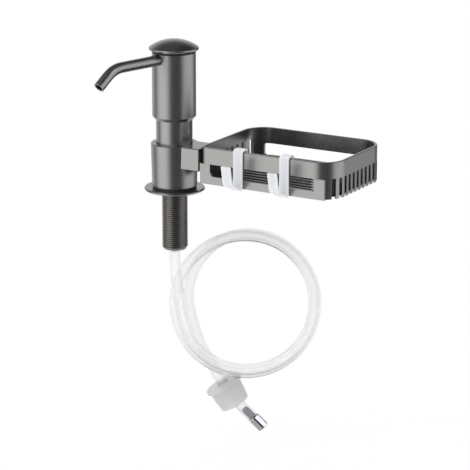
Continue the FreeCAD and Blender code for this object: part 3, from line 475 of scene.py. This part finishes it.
def addTube(spec, points):
    line = [v.co.copy() for v in routeMesh(points, 0).vertices]
    bm = bmesh.new()
    bm.from_mesh(routeMesh(points, spec["radius"]))
    bmesh.ops.recalc_face_normals(bm, faces=bm.faces)
    outerFaces, outerVerts = len(bm.faces), len(bm.verts)
    bm.from_mesh(routeMesh(points, spec["bore"]))
    bm.faces.ensure_lookup_table()
    inner = bm.faces[outerFaces:]
    bmesh.ops.recalc_face_normals(bm, faces=inner)
    bmesh.ops.reverse_faces(bm, faces=inner)
    rims = [e for e in bm.edges if e.is_boundary]
    for end in (line[0], line[-1]):
        near = [e for e in rims if (e.verts[0].co - end).length < spec["rimReach"]]
        bmesh.ops.bridge_loops(bm, edges=near)
    length = sum((b - a).length for a, b in zip(line, line[1:]))
    print("suction tube: length", round(length, 4))
    tube = addPiece("suctionTube", bm, clearTube, "deck_base",
                    ("tube_lead", "tube_coil", "tube_tail"))
    # painted shade on the tube's lower side, by how far each wall faces down
    under = tube.data.attributes.new("under", "FLOAT", "POINT")
    for vert, side in zip(tube.data.vertices[:outerVerts], under.data):
        side.value = min(max((-vert.normal.z - spec["shadeFrom"]) / (1 - spec["shadeFrom"]), 0), 1)


# foot valve: a hexagon with one corner to the front, open for the barb, the ball and the inlet
valveSpec = {
    "corner": 0.00655, "sides": 6, "start": 0.0001, "blunt": 0.001, "alongFlat": 7,
    # inset or radius, and distance along
    "outside": [(0.001, 0.0), (0.0, 0.001), (0.0, 0.014), (0.001, 0.015)],
    "bore": [(0.0018, 0.015), (0.0018, 0.0112), (0.0034, 0.0085), (0.0034, 0.003), (0.0046, 0.003), (0.0046, 0.0)],
    "front": (0.4838, -0.8335, 0.2669),  # where a corner points
}


def addValve(spec, points):
    ahead = (points[-1] - points[-2]).normalized()
    front = Vector(spec["front"])
    front = (front - ahead * front.dot(ahead)).normalized()
    across = ahead.cross(front)
    flat = spec["corner"] * math.cos(math.pi / spec["sides"])
    half = spec["corner"] / 2 - spec["blunt"]
    around = []
    for side in range(spec["sides"]):
        turn = Matrix.Rotation(2 * math.pi * (side + 0.5) / spec["sides"], 3, "Z")
        for step in range(spec["alongFlat"]):
            around.append(turn @ Vector((flat, half * (2 * step / (spec["alongFlat"] - 1) - 1), 0)))
    rows = [[p * (1 - inset / flat) + Vector((0, 0, z)) for p in around] for inset, z in spec["outside"]]
    rows += [[p.normalized() * radius + Vector((0, 0, z)) for p in around] for radius, z in spec["bore"]]
    bm = bmesh.new()
    joinRings(bm, rows)
    bmesh.ops.recalc_face_normals(bm, faces=bm.faces)
    turned = Matrix((front, across, ahead)).transposed().to_4x4()
    placed = Matrix.Translation(points[-1] + ahead * spec["start"]) @ turned
    bmesh.ops.transform(bm, matrix=placed, verts=bm.verts)
    addPiece("footValve", bm, brightChrome, "deck_base", ("foot_valve_body",), smooth=0)


# the tube's row names the valve, so the valve comes first
addValve(valveSpec, tubePoints)
print("foot valve cut")
addTube(tubeSpec, tubePoints)
print("tube laid")

# return spring: a helix of round wire
springSpec = {
    "reach": 0.0056, "wire": 0.0006, "around": 3, "turns": 9, "perTurn": 16, "outward": 1.0097,
    "low": -0.02529, "high": 0.01929, "foot": (0, 0, -0.02589), "keep": 0.56,
}


def addSpring(spec):
    count = spec["turns"] * spec["perTurn"]
    reach = spec["reach"] * spec["outward"]
    points = []
    for index in range(count + 1):
        swing = 2 * math.pi * index / spec["perTurn"]
        level = spec["low"] + (spec["high"] - spec["low"]) * index / count
        points.append(Vector((reach * math.cos(swing), reach * math.sin(swing), level)))
    bm = bmesh.new()
    bm.from_mesh(routeMesh(points, spec["wire"], spec["around"], capped=True))
    bmesh.ops.remove_doubles(bm, verts=bm.verts, dist=weldGap)
    bmesh.ops.recalc_face_normals(bm, faces=bm.faces)
    spring = addPiece("pressSpring", bm, plainSteel, "deck_base", ("return_spring",))
    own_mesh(spring)


addSpring(springSpec)
print("spring wound")

# threaded shank: a real helix between a plain top and a chamfered end
shankSpec = {
    "crest": 0.012, "root": 0.0109, "pitch": 0.002, "steps": 40, "low": -0.0548, "high": -0.0008,
    "profile": [("root", 0.0), ("root", 0.1), ("crest", 0.42), ("crest", 0.62), ("root", 0.95), ("root", 1.0)],
    "spareTurns": 2, "relief": 0.0113, "top": 0.0, "end": -0.0566, "endRadius": 0.0105,
    "bore": 0.0095, "boreTop": 0.016, "weld": 0.00001, "cutGap": 0.0000001,
}


def addShank(spec):
    bm = bmesh.new()
    pitch = spec["pitch"]
    start = spec["low"] - spec["spareTurns"] * pitch
    verts, edges = drawLine(bm, [(spec[level], 0, start + share * pitch) for level, share in spec["profile"]])
    turns = int((spec["high"] - start) / pitch) + spec["spareTurns"]
    bmesh.ops.spin(bm, geom=verts + edges, cent=(0, 0, 0), axis=(0, 0, 1), angle=2 * math.pi * turns,
                   dvec=(0, 0, pitch / spec["steps"]), steps=turns * spec["steps"], use_merge=False)
    bmesh.ops.remove_doubles(bm, verts=bm.verts, dist=spec["weld"])
    rims = []
    for level, side in ((spec["low"], -1), (spec["high"], 1)):
        cut = bmesh.ops.bisect_plane(bm, geom=bm.verts[:] + bm.edges[:] + bm.faces[:], dist=spec["cutGap"],
                                     plane_co=(0, 0, level), plane_no=(0, 0, side), clear_outer=True)
        rims.append(edgesIn(cut["geom_cut"]))

    def ringOut(edges, radius, level):
        made = bmesh.ops.extrude_edge_only(bm, edges=edges)["geom"]
        ring = set(vertsIn(made))
        for v in ring:
            flat = Vector((v.co.x, v.co.y, 0)).normalized() * radius
            v.co = (flat.x, flat.y, level)
        return [e for e in edgesIn(made) if ring.issuperset(e.verts)]

    low, high = ([e for e in paintedRim if e.is_valid] for paintedRim in rims)
    low = ringOut(low, spec["endRadius"], spec["end"])
    low = ringOut(low, spec["bore"], spec["end"])
    ringOut(low, spec["bore"], spec["boreTop"])
    ringOut(high, spec["relief"], spec["top"])
    bmesh.ops.recalc_face_normals(bm, faces=bm.faces)
    addPiece("shankThread", bm, darkThread, "deck_base", ("threaded_shank",), smooth=30)


addShank(shankSpec)
print("shank threaded")

# dome: crown, a standing band at its brim and a groove beneath it, its faces painted black as shade
domeSpec = {
    "sphere": 0.03875, "top": 0.14136, "crownSteps": 20, "crownEnd": 0.0224, "steps": 96, "margin": 0.00001,
    "edge": [(0.02278, 0.13402), (0.02302, 0.13368), (0.02305, 0.13335), (0.02296, 0.13225), (0.0227, 0.1319)],
    "groove": [(0.0191, 0.13185), (0.0191, 0.12976), (0.0, 0.12976)],
}


def addDome(spec):
    bm = bmesh.new()
    line = []
    for step in range(spec["crownSteps"] + 1):
        out = spec["crownEnd"] * step / spec["crownSteps"]
        line.append((out, spec["top"] - spec["sphere"] + math.sqrt(spec["sphere"] ** 2 - out ** 2)))
    line += spec["edge"] + spec["groove"]
    verts, edges = drawLine(bm, [(r, 0, z) for r, z in line])
    bmesh.ops.spin(bm, geom=verts + edges, cent=(0, 0, 0), axis=(0, 0, 1), angle=2 * math.pi, steps=spec["steps"])
    bmesh.ops.remove_doubles(bm, verts=bm.verts, dist=weldGap)
    bmesh.ops.recalc_face_normals(bm, faces=bm.faces)
    # painted shade: the groove's faces take the black finish, standing in for the shade in the groove
    brim, underside = spec["edge"][-1]
    for face in bm.faces:
        reach = max(math.hypot(v.co.x, v.co.y) for v in face.verts)
        if face.calc_center_median().z < underside and reach <= brim + spec["margin"]:
            face.material_index = 1
    piece = addPiece("domeTop", bm, satinGunmetal, "pump_head", ("dome_cap",), smooth=35)
    piece.data.materials.append(blackNylonAndShade)


addDome(domeSpec)
print("dome turned")

# shade frames: a thin dark frame beneath each of the tray's slots, a dark sheet put there as painted shade so no
# light shows through
shadeFrameSpec = {
    "middle": 0.1043, "count": 5, "pitch": 0.012, "width": 0.004, "front": 0.0015, "back": 0.0725,
    "top": 0.01495, "low": 0.01376, "wall": 0.0008,
}


def addShadeFrames(spec):
    bm = bmesh.new()
    for index in range(spec["count"]):
        centre = spec["middle"] + (index - (spec["count"] - 1) / 2) * spec["pitch"]
        rows = []
        for out, level in ((0, "top"), (0, "low"), (spec["wall"], "low"), (spec["wall"], "top")):
            left, right = centre - spec["width"] / 2 - out, centre + spec["width"] / 2 + out
            front, back = spec["front"] - out, spec["back"] + out
            corners = ((left, front), (right, front), (right, back), (left, back))
            rows.append([(x, y, spec[level]) for x, y in corners])
        joinRings(bm, rows)
    bmesh.ops.recalc_face_normals(bm, faces=bm.faces)
    addPiece("shadeFrames", bm, darkTrayAndShade, "caddy", smooth=0)


addShadeFrames(shadeFrameSpec)
print("drip edges hung")

# hooks: a strip bent over the basket's top edge, down the front and out into a lip, its edges painted whiter as a
# highlight against a darker bluish middle
hookSpec = {
    "width": 0.0094, "thickness": 0.002, "bend": 0.0024, "bendSteps": 8, "softEdge": 0.0004, "edgeSteps": 3,
    "middle": 0.0062, "middleTone": (0.89, 0.905, 0.95),
    "line": [(-0.0065, 0.03996), (-0.0065, 0.04896), (-0.016, 0.04896), (-0.016, 0.01246),
             (-0.0344, 0.02106), (-0.038, 0.03856)],
    "centres": {"hook_left": ("leftHook", 0.077, "left_hook"), "hook_right": ("rightHook", 0.1247, "right_hook")},
}


def addHook(node, spec):
    name, centre, body = spec["centres"][node]
    span = (centre - spec["middle"] / 2, centre + spec["middle"] / 2)
    # painted highlight: white at the edges and on the outer stretches, with the middle stretch a darker bluish
    # tone
    clearHook = makeFinish(name + "Clear", (0.99, 0.99, 1.0), 0.12, grain=(300, 1, 0.00001), spread=0.03,
                           shade=0.01, paintedRim={"blend": 0.3, "color": (1.0, 1.0, 1.0)},
                           zone={"span": {"X": span}, "color": spec["middleTone"]},
                           Transmission_Weight=0.36, IOR=1.12)
    coverNode(node, clearHook)
    bm = bmesh.new()
    side = centre - spec["width"] / 2
    verts, edges = drawLine(bm, [(side, y, z) for y, z in spec["line"]])
    made = bmesh.ops.extrude_edge_only(bm, edges=edges)["geom"]
    bmesh.ops.translate(bm, verts=vertsIn(made), vec=(spec["width"], 0, 0))
    folds = [e for e in bm.edges if len(e.link_faces) == 2]
    bmesh.ops.bevel(bm, geom=folds, offset=spec["bend"], offset_type="OFFSET", segments=spec["bendSteps"],
                    profile=0.5, affect="EDGES", material=-1)
    bmesh.ops.recalc_face_normals(bm, faces=bm.faces)
    piece = addPiece(name, bm, clearHook, body, (node,), smooth=35)
    wall = piece.modifiers.new("wall", "SOLIDIFY")
    wall.thickness = spec["thickness"]
    wall.offset = 0
    wall.use_even_offset = True
    soft = piece.modifiers.new("softEdge", "BEVEL")
    soft.width = spec["softEdge"]
    soft.segments = spec["edgeSteps"]
    soft.limit_method = "ANGLE"


for node in hookSpec["centres"]:
    addHook(node, hookSpec)
print("hooks bent")
